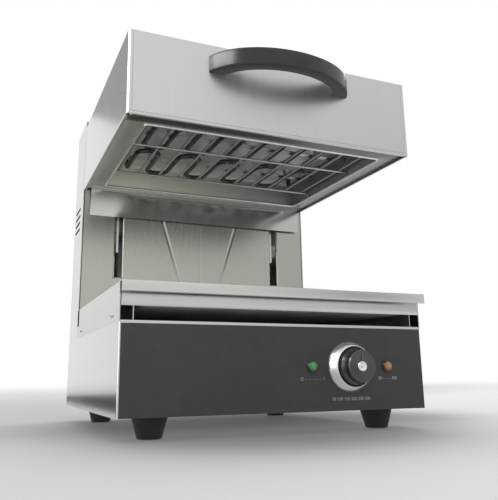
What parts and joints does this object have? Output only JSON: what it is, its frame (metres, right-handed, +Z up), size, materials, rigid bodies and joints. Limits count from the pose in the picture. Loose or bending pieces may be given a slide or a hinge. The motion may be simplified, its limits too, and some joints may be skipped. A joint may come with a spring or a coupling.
{
  "type": "salamander grill",
  "caption": "Counter-top electric salamander grill: heated hood on a counterbalanced lift column above a slide-out drip pan with a wire rack, thermostat knob in front.",
  "frame": {"origin": "on the floor under the middle of the overall box", "axes": "+X to the operator's right, +Y to the back, +Z up"},
  "size_m": [0.451, 0.528, 0.548],
  "materials": {
    "stainless": "fine brushed stainless sheet",
    "black_enamel": "satin black painted sheet",
    "chrome_trim": "bright plated",
    "black_plastic": "satin black phenolic",
    "rubber_black": "matte",
    "zinc_steel": "zinc plated",
    "ground_steel": "ground and polished",
    "iron_weight": "raw casting",
    "slider_alloy": "machined",
    "nylon_white": "moulded",
    "heater_steel": "oxidised tube",
    "rope_steel": "stranded",
    "ferrule_brass": "crimped",
    "ceramic_white": "glazed",
    "green_lens": "translucent",
    "amber_lens": "translucent"
  },
  "bodies": {
    "casing": {"left_side_panel": "stainless", "right_side_panel": "stainless", "deck": "stainless", "bottom_plate": "stainless", "left_cheek": "stainless", "right_cheek": "stainless", "column_face": "stainless", "column_top": "stainless", "rear_cover": "stainless", "front_panel": "black_enamel", "upper_crossmember": "zinc_steel", "lower_crossmember": "zinc_steel", "pulley_brackets": "zinc_steel", "counterweight_rails": "zinc_steel", "foot_screws": "zinc_steel", "thermostat_body": "zinc_steel", "left_guide_rod": "ground_steel", "right_guide_rod": "ground_steel", "pulley_axles": "ground_steel", "rope_wraps": "rope_steel", "feet": "rubber_black", "knob_bezel": "chrome_trim", "green_lamp": "green_lens", "amber_lamp": "amber_lens", "lamp_bodies": "black_plastic", "cable_gland": "black_plastic", "terminal_block": "nylon_white"},
    "hood": {"hood_skin": "stainless", "hood_top": "stainless", "hood_back_plate": "stainless", "hood_rim": "stainless", "reflector": "stainless", "front_element": "heater_steel", "rear_element": "heater_steel", "element_insulators": "ceramic_white", "element_supports": "zinc_steel", "guard_clips": "zinc_steel", "handle_bolts": "zinc_steel", "lift_arms": "zinc_steel", "crossbar": "zinc_steel", "wire_guard": "ground_steel", "hood_handle": "black_plastic", "slider_blocks": "slider_alloy", "slider_bushes": "nylon_white", "crossbar_ferrules": "ferrule_brass", "left_front_rope": "rope_steel", "right_front_rope": "rope_steel"},
    "weight": {"counterweight": "iron_weight", "counterweight_ferrules": "ferrule_brass", "left_rear_rope": "rope_steel", "right_rear_rope": "rope_steel"},
    "left_sheave": {"left_pulley": "nylon_white"},
    "right_sheave": {"right_pulley": "nylon_white"},
    "knob": {"control_knob": "black_plastic", "knob_cap": "chrome_trim", "thermostat_shaft": "ground_steel"},
    "tray": {"drip_pan": "stainless", "wire_rack": "ground_steel"}
  },
  "joints": [
    {"name": "hood_lift", "type": "slide", "parent": "casing", "child": "hood", "axis": [0, 0, 1], "range_m": [-0.1585, 0.012], "deforming": ["left_front_rope", "right_front_rope"]},
    {"name": "weight_slide", "type": "slide", "parent": "casing", "child": "weight", "axis": [0, 0, 1], "range_m": [-0.012, 0.1585], "deforming": ["left_rear_rope", "right_rear_rope"]},
    {"name": "left_sheave_turn", "type": "hinge", "parent": "casing", "child": "left_sheave", "pos_m": [-0.1, 0.214, 0.5028], "axis": [1, 0, 0], "range_deg": [-35, 455]},
    {"name": "right_sheave_turn", "type": "hinge", "parent": "casing", "child": "right_sheave", "pos_m": [0.1, 0.214, 0.5028], "axis": [1, 0, 0], "range_deg": [-35, 455]},
    {"name": "knob_turn", "type": "hinge", "parent": "casing", "child": "knob", "pos_m": [0.1, -0.2015, 0.0875], "axis": [0, 1, 0], "range_deg": [0, 270]},
    {"name": "pan_slide", "type": "slide", "parent": "casing", "child": "tray", "axis": [0, -1, 0], "range_m": [0, 0.26]}
  ],
  "couplings": [
    {"joint": "weight_slide", "follows": "hood_lift", "ratio": -1},
    {"joint": "left_sheave_turn", "follows": "hood_lift", "rad_per_m": -50},
    {"joint": "right_sheave_turn", "follows": "hood_lift", "rad_per_m": -50}
  ]
}
